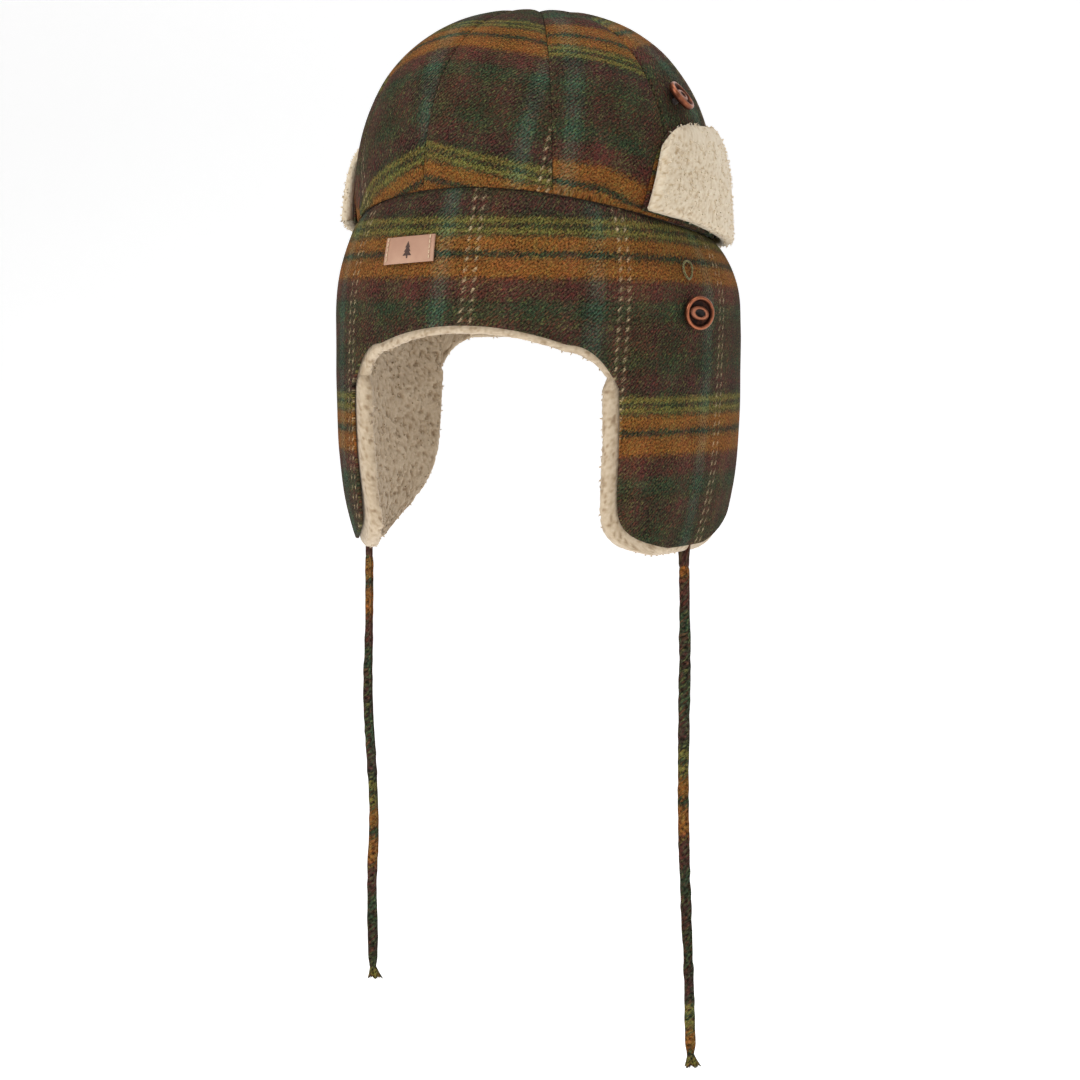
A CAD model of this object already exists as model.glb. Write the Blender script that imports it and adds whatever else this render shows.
import math

import bmesh
import bpy
import numpy as np
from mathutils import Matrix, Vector


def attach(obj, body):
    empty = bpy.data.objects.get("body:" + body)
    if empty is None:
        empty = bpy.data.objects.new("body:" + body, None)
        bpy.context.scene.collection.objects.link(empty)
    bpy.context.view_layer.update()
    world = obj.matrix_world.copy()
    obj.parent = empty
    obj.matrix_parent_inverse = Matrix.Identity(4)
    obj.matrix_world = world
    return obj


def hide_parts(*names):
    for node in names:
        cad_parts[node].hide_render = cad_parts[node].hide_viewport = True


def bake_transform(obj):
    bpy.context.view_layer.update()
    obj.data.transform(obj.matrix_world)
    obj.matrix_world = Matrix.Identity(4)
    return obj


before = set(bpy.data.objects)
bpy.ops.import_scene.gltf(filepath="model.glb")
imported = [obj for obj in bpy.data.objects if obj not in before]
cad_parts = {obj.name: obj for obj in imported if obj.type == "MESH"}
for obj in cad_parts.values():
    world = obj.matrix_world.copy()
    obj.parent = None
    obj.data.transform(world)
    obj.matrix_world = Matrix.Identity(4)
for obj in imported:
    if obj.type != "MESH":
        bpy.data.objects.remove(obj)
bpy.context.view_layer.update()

# The trapper hat's look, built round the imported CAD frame.
# Lengths are in millimetres up to the point where a mesh is made, and in metres from there on.
# Angles go round the head from the forehead (0) over the wearer's left (90) to the nape (180), in degrees.

MM = 0.001

# The hat's shape, as the CAD part has it
BAND_A, BAND_B = 98.5, 118.0
CROWN_A, CROWN_B, CROWN_SHIFT = 86.0, 103.0, -5.0
DOME_BASE_Z, DOME_HEIGHT, DOME_POWER = 66.0, 94.0, 2.35
SEAM_BACK_Z, SEAM_RISE, SEAM_SHAPE = 48.0, 25.0, 2.7
BULGE_Z, BULGE_POWER = 12.0, 2.2
BROW_Z, BROW_DROP, BROW_SPAN = 10.0, 9.0, 28.0
BACK_EDGE_Z, BACK_SPAN = 2.0, 14.0
FOLD_Z, FLAP_FRONT, FLAP_REAR, FLAP_TIP_Z, FLAP_TUCK = -20.0, 42.5, 124.0, -97.0, 0.09
PLAID_T, PILE_T, QUILT_T, GAP = 2.0, 6.8, 2.4, 0.4
LINING_OVERHANG, PILE_ROLL = 3.6, 3.0   # the fluffed pile stands out past the plaid, most at a flap's front
CROWN_SEAMS, CROWN_TURN = (21.0, 62.0, 108.0, 158.0), 4.5
APEX = 89.95                         # the panels' visible cloth reaches the middle of the top
NECK_FRONTS, NECK_SLANT, NECK_CUTS = {1: 54.0, -1: 68.0}, 9.0, (105.0, 152.0)
NECK_TOP_Z, NECK_LIFT, NECK_GAP = 104.0, 1.5, 0.6
TIE_W, TIE_T = 5.6, 3.0              # a tie is a narrow strip, wider than it is thick
TIE_PIVOTS = {"left": (81.365, -26.394, -108.5), "right": (-81.365, -26.394, -108.5)}
TIE_ROUTES = {
    "left": ((0, 0, -1.3), (0.6, 1.2, 34), (0.5, -0.6, 76), (-0.3, 1.5, 119),
             (1.6, 0.2, 162), (3.2, 1.9, 203), (4.3, 1.0, 241)),
    "right": ((0, 0, -1.3), (-0.5, 1.4, 32), (-1.4, -0.4, 69), (0.1, 1.3, 103),
              (2.3, -0.2, 133), (-0.3, 1.5, 163), (0.5, 0.7, 191), (0.2, 1.2, 209)),
}

# How fine the meshes are
CLOTH_STEP, PILE_STEP, INNER_PILE_STEP = 2.2, 1.0, 1.25
RIM_STEPS = 5

SIDES = {"left": 1, "right": -1}      # the wearer's, as the sign of X


# ---------------------------------------------------------------- camera, light and floor

def make_camera():
    """Level with the band, a little to the wearer's left of straight ahead."""
    data = bpy.data.cameras.new("camera")
    data.lens, data.sensor_width, data.clip_end = 97.0, 36.0, 20.0
    camera = bpy.data.objects.new("camera", data)
    bpy.context.scene.collection.objects.link(camera)
    away, turn = 1.45, math.radians(17.5)
    camera.location = (away * math.sin(turn), -away * math.cos(turn), 0.045)
    aim = Vector((0.0, 0.0, -0.1)) - camera.location
    camera.rotation_euler = aim.to_track_quat("-Z", "Y").to_euler()
    bpy.context.scene.camera = camera


def area_light(name, place, aim, size, power):
    """A round soft light, in metres and watts."""
    data = bpy.data.lights.new(name, "AREA")
    data.shape, data.size, data.energy = "DISK", size, power
    lamp = bpy.data.objects.new(name, data)
    bpy.context.scene.collection.objects.link(lamp)
    lamp.location = place
    lamp.rotation_euler = (Vector(aim) - Vector(place)).to_track_quat("-Z", "Y").to_euler()


def make_studio():
    """Even white surroundings, a key light from the wearer's right, a weaker fill and a light from above."""
    world = bpy.data.worlds.new("studio")
    world.use_nodes = True
    world.node_tree.nodes["Background"].inputs["Color"].default_value = (1.0, 1.0, 1.0, 1.0)
    world.node_tree.nodes["Background"].inputs["Strength"].default_value = 0.34
    bpy.context.scene.world = world
    area_light("key", (-1.0, -1.5, 1.3), (0.0, 0.0, 0.0), 1.1, 21.0)
    area_light("fill", (1.6, -1.0, 0.5), (0.0, 0.0, 0.0), 1.4, 7.0)
    area_light("top", (0.1, 0.0, 1.8), (0.0, 0.0, 0.1), 1.2, 13.0)
    bpy.context.scene.view_settings.view_transform = "Standard"


def make_floor():
    """A pale floor that curves up a long way behind, clear of the ties."""
    level, radius, half = -0.385, 2.5, 7.0
    turns = [math.radians(90.0 * i / 12) for i in range(13)]
    far = 3.0
    profile = [(-half, level)]
    profile += [(far + radius * math.sin(turn), level + radius * (1 - math.cos(turn))) for turn in turns]
    profile.append((far + radius, 6.0))
    points = [(x, y, z) for y, z in profile for x in (-half, half)]
    faces = [(2 * i, 2 * i + 1, 2 * i + 3, 2 * i + 2) for i in range(len(profile) - 1)]
    mesh = bpy.data.meshes.new("floor")
    mesh.from_pydata(points, [], faces)
    mesh.polygons.foreach_set("use_smooth", [True] * len(faces))
    floor = bpy.data.objects.new("floor", mesh)
    bpy.context.scene.collection.objects.link(floor)
    graph = Graph("floor")
    shade = graph.add("ShaderNodeTexNoise", Scale=3.0, Detail=2.0)
    tint = graph.ramp(shade, [(0.3, (246, 246, 246)), (0.7, (252, 252, 252))])
    graph.surface(tint, Roughness=0.9, Emission_Color=tint, Emission_Strength=0.52)
    mesh.materials.append(graph.material)


# ---------------------------------------------------------------- materials

def linear(colour):
    """An sRGB colour in 0 to 255 as the linear values that a shader takes."""
    parts = []
    for part in colour:
        share = part / 255
        parts.append(share / 12.92 if share <= 0.04045 else ((share + 0.055) / 1.055) ** 2.4)
    return (*parts, 1.0)


class Graph:
    """A material's nodes, built up from its surface shader."""

    def __init__(self, name):
        self.material = bpy.data.materials.new(name)
        self.material.use_nodes = True
        self.tree = self.material.node_tree
        self.shader = self.tree.nodes["Principled BSDF"]

    def feed(self, socket, value):
        """Links a socket or sets its value. Three numbers are an sRGB colour."""
        if isinstance(value, bpy.types.NodeSocket):
            self.tree.links.new(value, socket)
        elif isinstance(value, tuple) and len(value) == 3 and socket.type == "RGBA":
            socket.default_value = linear(value)
        else:
            socket.default_value = value

    def add(self, kind, output=0, settings=None, **inputs):
        """A new node's output, with its inputs set by name. An underscore stands for a space."""
        node = self.tree.nodes.new(kind)
        for name, value in (settings or {}).items():
            setattr(node, name, value)
        for name, value in inputs.items():
            self.feed(node.inputs[name.replace("_", " ")], value)
        return node.outputs[output]

    def math(self, operation, *values):
        node = self.tree.nodes.new("ShaderNodeMath")
        node.operation = operation
        for socket, value in zip(node.inputs, values):
            self.feed(socket, value)
        return node.outputs[0]

    def times(self, first, second):
        return self.math("MULTIPLY", first, second)

    def plus(self, first, second):
        return self.math("ADD", first, second)

    def minus(self, first, second):
        return self.math("SUBTRACT", first, second)

    def total(self, *terms):
        """The sum of some values, each times its weight."""
        parts = [self.times(value, weight) for value, weight in terms]
        whole = parts[0]
        for part in parts[1:]:
            whole = self.plus(whole, part)
        return whole

    def mix(self, share, first, second, blend="MIX"):
        node = self.tree.nodes.new("ShaderNodeMix")
        node.data_type, node.blend_type = "RGBA", blend
        for index, value in ((0, share), (6, first), (7, second)):
            self.feed(node.inputs[index], value)
        return node.outputs[2]

    def ramp(self, value, stops):
        """Colours along a value. Each stop is (position, sRGB colour or grey level)."""
        node = self.tree.nodes.new("ShaderNodeValToRGB")
        elements = node.color_ramp.elements
        while len(elements) > 1:
            elements.remove(elements[-1])
        for number, (position, colour) in enumerate(stops):
            element = elements[0] if number == 0 else elements.new(position)
            element.position = position
            element.color = linear(colour) if isinstance(colour, tuple) else (colour, colour, colour, 1.0)
        self.feed(node.inputs[0], value)
        return node.outputs[0]

    def place(self):
        """Where a point is on the piece, in the piece's own axes."""
        return self.add("ShaderNodeTexCoord", 3)

    def noise(self, vector, scale, detail=2.0, output=0):
        return self.add("ShaderNodeTexNoise", output, Vector=vector, Scale=scale, Detail=detail)

    def ribs(self, diagonal, wander, pitch):
        """Diagonal ribs this far apart, from 0 to 1, made uneven by a noise."""
        turns = self.times(diagonal, 2 * math.pi / (pitch * math.sqrt(2)))
        phase = self.plus(turns, self.times(wander, 5.0))
        return self.plus(self.times(self.math("SINE", phase), 0.5), 0.5)

    def attribute(self, name):
        node = self.tree.nodes.new("ShaderNodeAttribute")
        node.attribute_name = name
        return node.outputs["Fac"]

    def bump(self, height, distance, strength=1.0):
        self.feed(self.shader.inputs["Normal"],
                  self.add("ShaderNodeBump", Height=height, Distance=distance, Strength=strength))

    def surface(self, colour, **inputs):
        self.feed(self.shader.inputs["Base Color"], colour)
        for name, value in inputs.items():
            self.feed(self.shader.inputs[name.replace("_", " ")], value)


# The plaid's stripes, in millimetres: up one repeat of the weft, and along one repeat of the warp
WEFT_REPEAT = 82.4
WEFT = (
    (0.0, (48, 40, 30)), (5.0, (50, 34, 30)), (9.0, (58, 38, 34)), (13.0, (46, 46, 30)),
    (14.5, (34, 48, 34)), (19.0, (38, 56, 40)), (21.5, (46, 46, 34)), (23.0, (72, 36, 36)),
    (30.0, (80, 42, 38)), (32.0, (104, 58, 30)), (33.5, (150, 90, 30)), (39.5, (144, 86, 32)),
    (41.2, (116, 76, 30)), (42.0, (38, 46, 32)), (43.8, (36, 46, 32)), (44.6, (132, 82, 30)),
    (49.5, (152, 94, 32)), (50.8, (108, 76, 34)), (51.6, (46, 50, 30)), (52.6, (108, 100, 46)),
    (54.0, (130, 122, 54)), (54.9, (48, 54, 32)), (56.5, (42, 48, 30)), (57.4, (122, 114, 52)),
    (59.0, (114, 106, 50)), (60.0, (44, 46, 32)), (62.5, (48, 34, 34)), (66.0, (66, 36, 38)),
    (71.0, (48, 40, 32)), (74.5, (36, 48, 34)), (79.0, (40, 42, 28)), (81.9, (48, 40, 30)),
)
WARP_REPEATS = 9                     # round the band, so that the cloth meets itself
WARP_SHIFT = 66.75                   # brings the cream pair to 3.4 mm from the middle of the brow
WARP = (
    (0.0, (62, 48, 32)), (6.0, (82, 56, 36)), (13.0, (70, 36, 36)), (20.0, (46, 44, 30)),
    (27.0, (42, 54, 36)), (34.0, (52, 44, 30)), (42.0, (74, 40, 40)), (48.0, (46, 46, 34)),
    (50.5, (44, 68, 58)), (53.5, (58, 90, 78)), (58.0, (56, 86, 74)), (60.5, (44, 54, 42)),
    (64.0, (58, 42, 34)), (69.0, (78, 58, 42)), (73.7, (70, 52, 36)),
)
CREAM = (
    (0.0, 0.0), (66.6, 0.0), (67.2, 1.0), (68.1, 1.0), (68.7, 0.0),
    (71.4, 0.0), (72.0, 1.0), (72.9, 1.0), (73.5, 0.0),
)
STRAY_FIBRES = ((0.34, (120, 70, 40)), (0.42, (78, 34, 34)), (0.48, (40, 38, 26)),
                (0.53, (52, 58, 34)), (0.58, (44, 70, 48)), (0.66, (116, 116, 58)))
CREAM_THREAD = (190, 168, 132)
TWILL_PITCH, DASH_PITCH = 1.5, 3.3


def stripes(graph, place, stops, repeat):
    """The stripe at a place in millimetres, as shares of the repeat."""
    share = graph.math("FRACT", graph.math("DIVIDE", place, repeat))
    return graph.ramp(share, [(position / repeat, colour) for position, colour in stops])


def plaid_material(name, strength=1.0):
    """Brushed wool twill: weft and warp stripes cross in diagonal ribs, under a fuzz of loose fibres."""
    graph = Graph(name)
    place = graph.add("ShaderNodeUVMap", settings={"uv_map": "cloth"})
    along = graph.times(graph.add("ShaderNodeSeparateXYZ", 0, Vector=place), 1000.0)
    up = graph.times(graph.add("ShaderNodeSeparateXYZ", 1, Vector=place), 1000.0)
    diagonal, across = graph.minus(along, up), graph.plus(along, up)
    streak = graph.add("ShaderNodeCombineXYZ", X=diagonal, Y=graph.times(across, 0.3), Z=0.0)
    fuzz = graph.noise(streak, 1.0, 3.0)
    hairs = graph.noise(streak, 2.3, 2.0)
    grain = graph.noise(place, 950.0, 3.0)
    flecks = graph.noise(streak, 1.1, 3.0, output=1)
    blotch = graph.noise(place, 60.0, 3.0)

    # The stripes, with edges that wander by a few millimetres
    weft_place = graph.plus(up, graph.times(graph.minus(fuzz, 0.5), 9.0))
    warp_place = graph.plus(along, graph.times(graph.minus(hairs, 0.5), 4.5))
    twill = graph.ribs(diagonal, fuzz, TWILL_PITCH)
    showing = graph.total((twill, 0.30), (blotch, 0.36))
    cloth = graph.mix(showing, stripes(graph, weft_place, WEFT, WEFT_REPEAT),
                      stripes(graph, warp_place, WARP, WARP_REPEAT))
    stray = graph.ramp(graph.add("ShaderNodeSeparateColor", 1, Color=flecks), STRAY_FIBRES)
    cloth = graph.mix(0.30, cloth, stray)

    # The pair of cream warp threads, showing in dashes
    dashes = graph.ramp(graph.ribs(diagonal, hairs, DASH_PITCH), [(0.45, 0.0), (0.85, 1.0)])
    cream = graph.times(stripes(graph, warp_place, CREAM, WARP_REPEAT), dashes)
    cream = graph.times(cream, graph.ramp(fuzz, [(0.35, 0.1), (0.62, 0.6)]))
    cloth = graph.mix(cream, cloth, CREAM_THREAD)

    # Light and dark fibres
    shade = graph.total((hairs, 3.3), (twill, 0.4), (grain, 4.6), (blotch, 1.4))
    shade = graph.times(graph.math("MAXIMUM", graph.minus(shade, 3.65), 0.2), strength)
    cloth = graph.mix(1.0, cloth, graph.add("ShaderNodeCombineXYZ", X=shade, Y=shade, Z=shade), "MULTIPLY")
    graph.surface(cloth, Roughness=0.95, Sheen_Weight=0.015, Sheen_Roughness=0.6, Specular_IOR_Level=0.05)
    graph.bump(graph.total((twill, 0.5), (hairs, 0.9), (grain, 1.0)), 0.0006, 0.9)
    return graph.material


def sherpa_material(name, valley, middle, tip):
    """Curly pile. Each lump is lighter than the valleys round it."""
    graph = Graph(name)
    place = graph.place()
    curls = graph.noise(place, 900.0, 3.0)
    patches = graph.noise(place, 60.0, 2.0)
    level = graph.total((graph.attribute("pile_height"), 1.0), (curls, 0.30), (patches, 0.25))
    colour = graph.ramp(graph.minus(level, 0.2), [(0.05, valley), (0.5, middle), (1.0, tip)])
    graph.surface(colour, Roughness=1.0, Sheen_Weight=0.25, Sheen_Roughness=0.5, Specular_IOR_Level=0.1)
    graph.bump(curls, 0.0006, 0.7)
    return graph.material


def quilt_material():
    """Brown satin, darker along the quilting."""
    graph = Graph("quilt_lining")
    place = graph.place()
    weave = graph.noise(place, 1400.0, 1.0)
    folds = graph.noise(place, 30.0, 3.0)
    colour = graph.ramp(folds, [(0.35, (58, 46, 38)), (0.65, (74, 60, 48))])
    sewn = graph.ramp(graph.attribute("pile_height"), [(0.0, 0.45), (0.3, 1.0)])
    rough = graph.plus(0.35, graph.times(weave, 0.2))
    graph.surface(graph.mix(1.0, colour, sewn, "MULTIPLY"), Roughness=rough, Sheen_Weight=0.2)
    graph.bump(weave, 0.0001, 0.4)
    return graph.material


def leather_material():
    """Tan leather, darker where its edges are worn."""
    graph = Graph("label_leather")
    place = graph.place()
    grain = graph.add("ShaderNodeTexVoronoi", Vector=place, Scale=1600.0)
    clouds = graph.noise(place, 120.0, 4.0)
    worn = graph.attribute("edge")
    colour = graph.ramp(clouds, [(0.3, (178, 136, 112)), (0.7, (194, 154, 128))])
    colour = graph.mix(graph.times(worn, 0.5), colour, (150, 104, 80))
    graph.surface(colour, Roughness=graph.plus(0.5, graph.times(clouds, 0.2)))
    graph.bump(grain, 0.00008, 0.5)
    return graph.material


def ink_material():
    """The mark pressed into the label."""
    graph = Graph("label_mark")
    place = graph.place()
    worn = graph.noise(place, 1800.0, 3.0)
    graph.surface(graph.ramp(worn, [(0.35, (52, 34, 28)), (0.7, (86, 60, 48))]), Roughness=0.7)
    return graph.material


def thread_material(name, dark, light, scale=1.0):
    """Twisted thread, with slanting plies."""
    graph = Graph(name)
    place = graph.place()
    plies = graph.add("ShaderNodeTexWave", Vector=place, Scale=380.0 * scale, Distortion=4.0, Detail=2.0,
                      settings={"bands_direction": "DIAGONAL"})
    fluff = graph.noise(place, 2200.0, 2.0)
    level = graph.total((plies, 0.6), (fluff, 0.5))
    graph.surface(graph.ramp(level, [(0.15, dark), (0.85, light)]), Roughness=0.85, Sheen_Weight=0.3)
    graph.bump(plies, 0.00015, 0.6)
    return graph.material


def rubbed(graph, stains, unevenness):
    """How bright the metal is rubbed: most along its edges, and unevenly."""
    return graph.plus(graph.attribute("edge"), graph.times(graph.minus(stains, 0.5), unevenness))


def copper_material():
    """Antiqued copper, dark in the hollow and rubbed bright along the rim."""
    graph = Graph("button_copper")
    place = graph.place()
    stains = graph.noise(place, 420.0, 5.0)
    bright = rubbed(graph, stains, 0.7)
    colour = graph.ramp(bright, [(0.0, (34, 20, 16)), (0.45, (92, 50, 34)), (1.0, (166, 100, 70))])
    rough = graph.minus(0.55, graph.times(bright, 0.25))
    graph.surface(colour, Metallic=0.85, Roughness=rough)
    graph.bump(stains, 0.0001, 0.3)
    return graph.material


def boss_material():
    """The button's almond, rubbed lighter on top."""
    graph = Graph("button_boss")
    place = graph.place()
    stains = graph.noise(place, 500.0, 4.0)
    bright = rubbed(graph, stains, 0.5)
    colour = graph.ramp(bright, [(0.0, (20, 12, 10)), (0.5, (84, 48, 34)), (1.0, (160, 98, 70))])
    graph.surface(colour, Metallic=0.6, Roughness=0.38)
    graph.bump(stains, 0.0001, 0.25)
    return graph.material


# ---------------------------------------------------------------- the hat's surfaces

def seam_z(angle):
    """The height of the crown's seam, which is lowest at the nape."""
    return SEAM_BACK_Z + SEAM_RISE * ((1 + np.cos(np.radians(angle))) / 2) ** SEAM_SHAPE


def around(angle):
    """How far round from the forehead, from 0 to 180 on either side."""
    angle = np.abs(angle) % 360
    return np.minimum(angle, 360 - angle)


def edge_z(angle):
    """The band's lower edge: the brow, the fold lines and the nape."""
    turn = around(angle)
    brow = BROW_Z - BROW_DROP * (turn / BROW_SPAN) ** 2
    start = BROW_Z - BROW_DROP
    fall = start + (FOLD_Z - start) * (np.clip((turn - BROW_SPAN) / (FLAP_FRONT - BROW_SPAN), 0, 1)) ** 2.2
    rise = BACK_EDGE_Z + (FOLD_Z - BACK_EDGE_Z) * (1 - np.clip((turn - FLAP_REAR) / BACK_SPAN, 0, 1)) ** 2.2
    return np.where(turn <= BROW_SPAN, brow, np.where(turn <= FLAP_REAR, fall, rise))


def ring(angle, half_width, half_depth, shift, z):
    """A point on an oval round the head, moved back by shift."""
    turn = np.radians(angle)
    return np.stack(np.broadcast_arrays(half_width * np.sin(turn), shift - half_depth * np.cos(turn), z), -1)


def band_point(angle, z, inset):
    """A point of the band, drawn in towards the crown's seam and tucked in towards the flaps' tips."""
    lift = np.maximum(0.0, (z - BULGE_Z) / (seam_z(angle) - BULGE_Z)) ** BULGE_POWER
    tuck = FLAP_TUCK * np.maximum(0.0, (FOLD_Z - z) / (FOLD_Z - FLAP_TIP_Z)) ** 2.5
    half_width = (BAND_A - (BAND_A - CROWN_A) * lift) * (1 - tuck) - inset
    half_depth = (BAND_B - (BAND_B - CROWN_B) * lift) * (1 - tuck) - inset
    return ring(angle, half_width, half_depth, CROWN_SHIFT * lift, z)


def dome_point(angle, climb, inset):
    """A point of the crown. climb is 0 at the dome's base, 1 at the top and below 0 on the wall under it."""
    up = np.radians(np.clip(climb, 0, 1) * APEX)
    out, height = np.cos(up) ** (2 / DOME_POWER), np.sin(up) ** (2 / DOME_POWER)
    wall = DOME_BASE_Z + np.minimum(climb, 0) * DOME_HEIGHT
    z = wall + (DOME_HEIGHT - inset) * height
    return ring(angle, (CROWN_A - inset) * out, (CROWN_B - inset) * out, CROWN_SHIFT, z)


def climb_of(z):
    """The climb at which the crown's outside reaches a height."""
    above = np.clip((z - DOME_BASE_Z) / DOME_HEIGHT, 0, 1)
    dome = np.degrees(np.arcsin(above ** (DOME_POWER / 2))) / APEX
    return np.where(z <= DOME_BASE_Z, (z - DOME_BASE_Z) / DOME_HEIGHT, dome)


def crown_wall_point(angle, z, outset):
    """A point this far straight out from the crown's outside."""
    turn = np.radians(angle)
    outward = np.stack(np.broadcast_arrays(np.sin(turn), -np.cos(turn), 0.0 * z), -1)
    return dome_point(angle, climb_of(z), 0.0) + outward * np.asarray(outset)[..., None]


def flap_front(depth):
    """The ear flap's front edge, in degrees. depth is 0 at the fold and 1 at the tip."""
    return FLAP_FRONT + 21.0 * depth ** 12


def flap_rear(depth):
    """The ear flap's rear edge, the same way."""
    return FLAP_REAR - 4.0 * depth - 40.0 * depth ** 5


def lengths_along(line):
    """How far along a line each of its points is."""
    return np.concatenate([[0.0], np.cumsum(np.linalg.norm(np.diff(line, axis=0), axis=1))])


ARC_ANGLES = np.linspace(0.0, 360.0, 1441)
ARC_LENGTHS = lengths_along(ring(ARC_ANGLES, BAND_A, BAND_B, 0.0, 0.0))
WARP_REPEAT = ARC_LENGTHS[-1] / WARP_REPEATS


def arc(angle):
    """Millimetres round the band from the middle of the brow. Angles below 0 give lengths below 0."""
    return np.sign(angle) * np.interp(np.abs(angle), ARC_ANGLES, ARC_LENGTHS)


def band_cloth(angle, z):
    """The band's place on the flat cloth, which is cut a little off the grain.
    Its stripes drop towards the back, most of all in the upper half, where they follow the crown's seam."""
    behind = (1 - np.cos(np.radians(angle))) / 2
    sag = 5.0 * behind + 13.0 * behind ** 1.6 * np.clip((z - 2.0) / 40.0, 0, 1)
    return np.stack([arc(angle) + WARP_SHIFT - 0.085 * (z - 35.0), z + sag], -1)


# ---------------------------------------------------------------- repeatable noise

def chance(cell, seed):
    """A number from 0 to 1 for each whole-number cell, always the same for the same cell and seed."""
    mixed = np.sin(cell @ np.array([127.1, 311.7, 74.7]) + seed * 19.19) * 43758.5453
    return mixed - np.floor(mixed)


def waves(points, size, seed):
    """Smooth noise from -1 to 1 with lumps about size millimetres wide."""
    scaled = points / size
    cell = np.floor(scaled)
    part = scaled - cell
    part = part * part * (3 - 2 * part)
    total = np.zeros(points.shape[:-1])
    for corner in np.ndindex(2, 2, 2):
        share = np.prod(np.where(np.array(corner) == 1, part, 1 - part), axis=-1)
        total += share * chance(cell + corner, seed)
    return 2 * total - 1


def lumps(points, size, seed):
    """Rounded lumps, one to a cell of this size. 0 in the valleys between them and 1 on top."""
    cell = np.floor(points / size)
    nearest = np.full(points.shape[:-1], 9.0)
    for step in np.ndindex(3, 3, 3):
        home = cell + np.array(step) - 1
        middle = home + np.stack([chance(home, seed + k) for k in range(3)], -1)
        nearest = np.minimum(nearest, ((points / size - middle) ** 2).sum(-1))
    return np.sqrt(np.clip(1 - nearest / 0.62, 0, 1))


# ---------------------------------------------------------------- meshes

def side_shares(length, step, low_rim=0.0, high_rim=0.0):
    """Places from 0 to 1 along a side, closer together at a rounded rim, and how full the thickness is."""
    turn = np.linspace(0, math.pi / 2, RIM_STEPS + 1)
    low = (1 - np.cos(turn)) * low_rim if low_rim else np.array([0.0])
    high = (1 - np.cos(turn)) * high_rim if high_rim else np.array([0.0])
    count = max(3, int((length - low_rim - high_rim) / step) + 2)
    middle = np.linspace(low[-1], length - high[-1], count)[1:-1]
    places = np.concatenate([low, middle, length - high[::-1]]) / length
    full = np.concatenate([np.sin(turn) if low_rim else [1.0], np.ones(len(middle)),
                           np.sin(turn)[::-1] if high_rim else [1.0]])
    return places, full


def grid_faces(columns, rows, first, flip):
    """The quads of one face of a layer, whose points start at first."""
    corner = first + np.arange(columns - 1)[:, None] * rows + np.arange(rows - 1)[None, :]
    quads = np.stack([corner, corner + rows, corner + rows + 1, corner + 1], -1).reshape(-1, 4)
    return quads[:, ::-1] if flip else quads


def side_faces(columns, rows, inner):
    """The strips that join the two faces round their edges."""
    left = np.arange(rows)
    right = left + (columns - 1) * rows
    bottom = np.arange(columns) * rows
    top = bottom + rows - 1
    strips = []
    for line, flip in ((left, False), (right, True), (bottom, True), (top, False)):
        quads = np.stack([line[:-1], line[1:], line[1:] + inner, line[:-1] + inner], -1)
        strips.append(quads[:, ::-1] if flip else quads)
    return np.concatenate(strips)


def tube_faces(rows, count, far_cap=True):
    """The sides of a tube of rings, and the caps that close it."""
    faces = []
    for start in range(0, (rows - 1) * count, count):
        for corner in range(count):
            after = (corner + 1) % count
            faces.append((start + corner, start + after, start + count + after, start + count + corner))
    faces.append(tuple(range(count)))
    if far_cap:
        faces.append(tuple(range((rows - 1) * count, rows * count)))
    return faces


def give_values(mesh, name, values):
    """Stores a number for each point, for a material to read."""
    mesh.attributes.new(name, "FLOAT", "POINT").data.foreach_set("value", values.astype(np.float32))


def new_object(name, points, faces, cloth=None, edge=None, flat=False):
    """A mesh object from points in millimetres. cloth is each point's place on the flat cloth, also in
    millimetres, and edge is how rubbed it is, from 0 to 1. A flat piece has straight sides."""
    mesh = bpy.data.meshes.new(name)
    places = np.asarray(points).reshape(-1, 3) * MM
    mesh.from_pydata(places.tolist(), [], [list(map(int, face)) for face in faces])
    if cloth is not None:
        layer = mesh.uv_layers.new(name="cloth")
        corners = np.empty(len(mesh.loops), np.int32)
        mesh.loops.foreach_get("vertex_index", corners)
        spots = np.asarray(cloth).reshape(-1, 2)[corners] * MM
        layer.data.foreach_set("uv", spots.astype(np.float32).ravel())
    if edge is not None:
        give_values(mesh, "edge", edge)
    mesh.polygons.foreach_set("use_smooth", [not flat] * len(mesh.polygons))
    mesh.update()
    thing = bpy.data.objects.new(name, mesh)
    bpy.context.scene.collection.objects.link(thing)
    weld(thing, flat)
    return thing


def weld(thing, triangles):
    """Joins points in the same place, so that a rounded rim has no slit, and turns every face outward."""
    form = bmesh.new()
    form.from_mesh(thing.data)
    bmesh.ops.remove_doubles(form, verts=form.verts, dist=0.00002)
    bmesh.ops.dissolve_degenerate(form, edges=form.edges, dist=0.00001)
    if triangles:
        bmesh.ops.triangulate(form, faces=form.faces)
    bmesh.ops.recalc_face_normals(form, faces=form.faces)
    form.to_mesh(thing.data)
    form.free()
    thing.data.update()


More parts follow.
